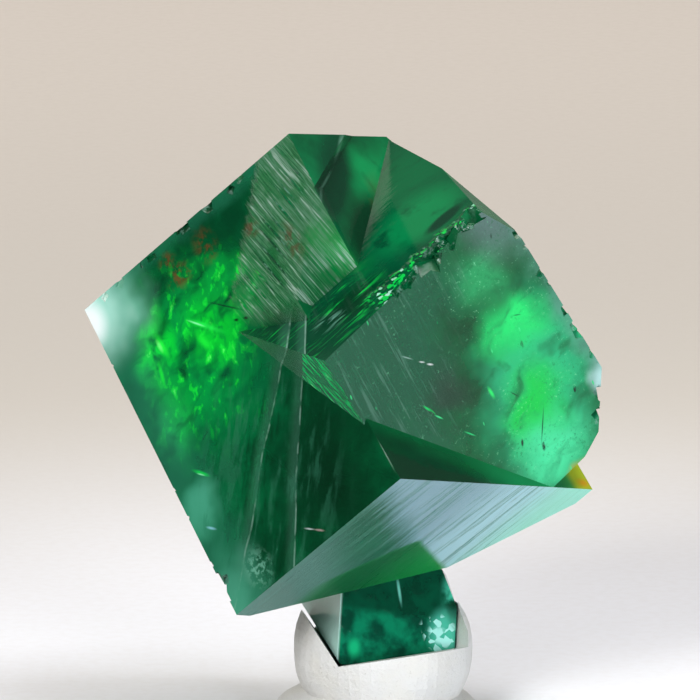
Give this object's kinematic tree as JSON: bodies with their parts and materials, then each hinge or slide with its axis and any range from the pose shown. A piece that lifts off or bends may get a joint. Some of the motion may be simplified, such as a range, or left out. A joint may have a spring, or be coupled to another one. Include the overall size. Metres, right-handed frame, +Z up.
{
  "type": "fluorite crystal twin on a putty mount",
  "caption": "Clear green fluorite: cubes grown through each other as a penetration twin with a broken back, stood upright in a ball of white putty.",
  "frame": {"origin": "centre of the putty's flat foot", "axes": "+Z up, -Y towards the side that was pictured, +X to that view's right"},
  "size_m": [0.0521, 0.0421, 0.0596],
  "materials": {
    "fluorite": "natural crystal faces, clear",
    "putty": "matte"
  },
  "bodies": {
    "root": {"fluorite": "fluorite", "putty": "putty"}
  },
  "joints": []
}
